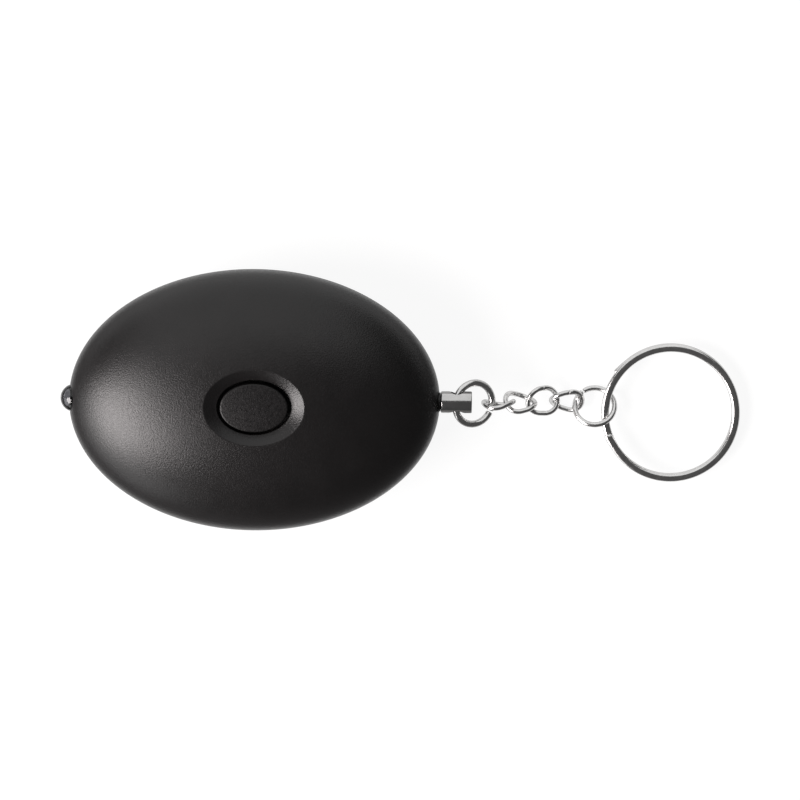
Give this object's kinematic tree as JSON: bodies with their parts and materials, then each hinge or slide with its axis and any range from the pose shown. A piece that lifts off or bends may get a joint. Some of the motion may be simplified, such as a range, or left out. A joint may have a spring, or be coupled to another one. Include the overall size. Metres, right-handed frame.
{
  "type": "personal safety alarm",
  "caption": "Egg-shaped black personal alarm with a light button in an oval dish, an end lamp, and a pull pin on a twisted chain with a split key ring.",
  "frame": {"origin": "centre of the flat back face, which lies on the table", "axes": "+X along the body towards the pull pin and chain, +Z out of the button face, +Y across the body"},
  "size_m": [0.1214, 0.0468, 0.0237],
  "materials": {
    "case_black": "fine spark-eroded grain, satin",
    "button_black": "fine grain, satin",
    "lamp_smoke": "smoked moulded resin",
    "pin_chrome": "bright plated",
    "ring_chrome": "bright plated",
    "chain_chrome": "bright plated",
    "key_ring_chrome": "bright plated",
    "screw_steel": "zinc plated",
    "switch_black": "moulded",
    "plunger_white": "moulded",
    "tinned_wire": "tinned",
    "board_green": "solder mask",
    "chip_black": "moulded",
    "chip_tan": "ceramic body",
    "ferrite": "sintered",
    "copper": "enamelled wire",
    "cell_steel": "nickel plated",
    "contact_nickel": "nickel plated",
    "contact_brass": "spring sheet",
    "sounder_brass": "rolled sheet",
    "sounder_white": "fired",
    "lead_red": "soft sleeve",
    "lead_black": "soft sleeve"
  },
  "bodies": {
    "housing": {"front_shell": "case_black", "rear_shell": "case_black", "case_screws": "screw_steel", "switch_body": "switch_black", "lamp": "lamp_smoke", "lamp_legs": "tinned_wire", "circuit_board": "board_green", "board_screws": "screw_steel", "driver_chip": "chip_black", "drive_transistor": "chip_black", "coil_core": "ferrite", "coil_winding": "copper", "chip_parts": "chip_tan", "battery_cell_1": "cell_steel", "battery_cell_2": "cell_steel", "battery_cell_3": "cell_steel", "battery_plate": "contact_nickel", "battery_leaf": "contact_nickel", "sounder_plate": "sounder_brass", "sounder_ceramic": "sounder_white", "sounder_lead_a": "lead_red", "sounder_lead_b": "lead_black", "pin_socket": "switch_black", "fixed_contact": "contact_brass"},
    "button": {"light_button": "button_black"},
    "plunger": {"switch_plunger": "plunger_white"},
    "leaf": {"contact_leaf": "contact_brass"},
    "pin": {"pull_pin": "pin_chrome"},
    "pin_ring": {"pin_ring": "ring_chrome"},
    "link_1": {"chain_link_1": "chain_chrome"},
    "link_2": {"chain_link_2": "chain_chrome"},
    "link_3": {"chain_link_3": "chain_chrome"},
    "link_4": {"chain_link_4": "chain_chrome"},
    "end_ring": {"end_ring": "ring_chrome"},
    "key_ring": {"split_key_ring": "key_ring_chrome"}
  },
  "joints": [
    {"name": "button_press", "type": "slide", "parent": "housing", "child": "button", "axis": [0, 0, -1], "range_m": [0, 0.0005], "stiffness_N_per_m": 800, "springref_m": -0.0005},
    {"name": "plunger_press", "type": "slide", "parent": "housing", "child": "plunger", "axis": [0, 0, -1], "range_m": [0, 0.0005]},
    {"name": "pin_pull", "type": "slide", "parent": "housing", "child": "pin", "axis": [1, 0, 0], "range_m": [0, 0.014]},
    {"name": "leaf_close", "type": "hinge", "parent": "housing", "child": "leaf", "pos_m": [0.01795, 0, 0.01007], "axis": [0, 1, 0], "range_deg": [-8, 0]},
    {"name": "pin_ring_swing", "type": "hinge", "parent": "pin", "child": "pin_ring", "pos_m": [0.03615, 0, 0.0115], "axis": [0, 1, 0], "range_deg": [-45, 45]},
    {"name": "link_1_swing", "type": "hinge", "parent": "pin_ring", "child": "link_1", "pos_m": [0.04235, -0.00087, 0.00789], "axis": [0.1392, 0.9903, 0], "range_deg": [-40, 40]},
    {"name": "link_2_swing", "type": "hinge", "parent": "link_1", "child": "link_2", "pos_m": [0.04588, -0.00075, 0.0055], "axis": [-0.5151, -0.352, -0.7815], "range_deg": [-40, 40]},
    {"name": "link_3_swing", "type": "hinge", "parent": "link_2", "child": "link_3", "pos_m": [0.04989, -0.00068, 0.00359], "axis": [-0.4211, 0.2431, -0.8738], "range_deg": [-40, 40]},
    {"name": "link_4_swing", "type": "hinge", "parent": "link_3", "child": "link_4", "pos_m": [0.05414, -0.00053, 0.00233], "axis": [-0.086, 0.9808, -0.1747], "range_deg": [-40, 40]},
    {"name": "end_ring_swing", "type": "hinge", "parent": "link_4", "child": "end_ring", "pos_m": [0.05853, -0.00087, 0.00175], "axis": [0.1261, 0.8992, 0.419], "range_deg": [-35, 35]},
    {"name": "key_ring_swing", "type": "hinge", "parent": "end_ring", "child": "key_ring", "pos_m": [0.06436, -0.00131, 0.00215], "axis": [-0.0935, 0.8684, -0.4869], "range_deg": [-25, 10]}
  ],
  "couplings": [
    {"joint": "plunger_press", "follows": "button_press", "ratio": 1},
    {"joint": "leaf_close", "follows": "pin_pull", "rad_per_m": -9.9608}
  ]
}
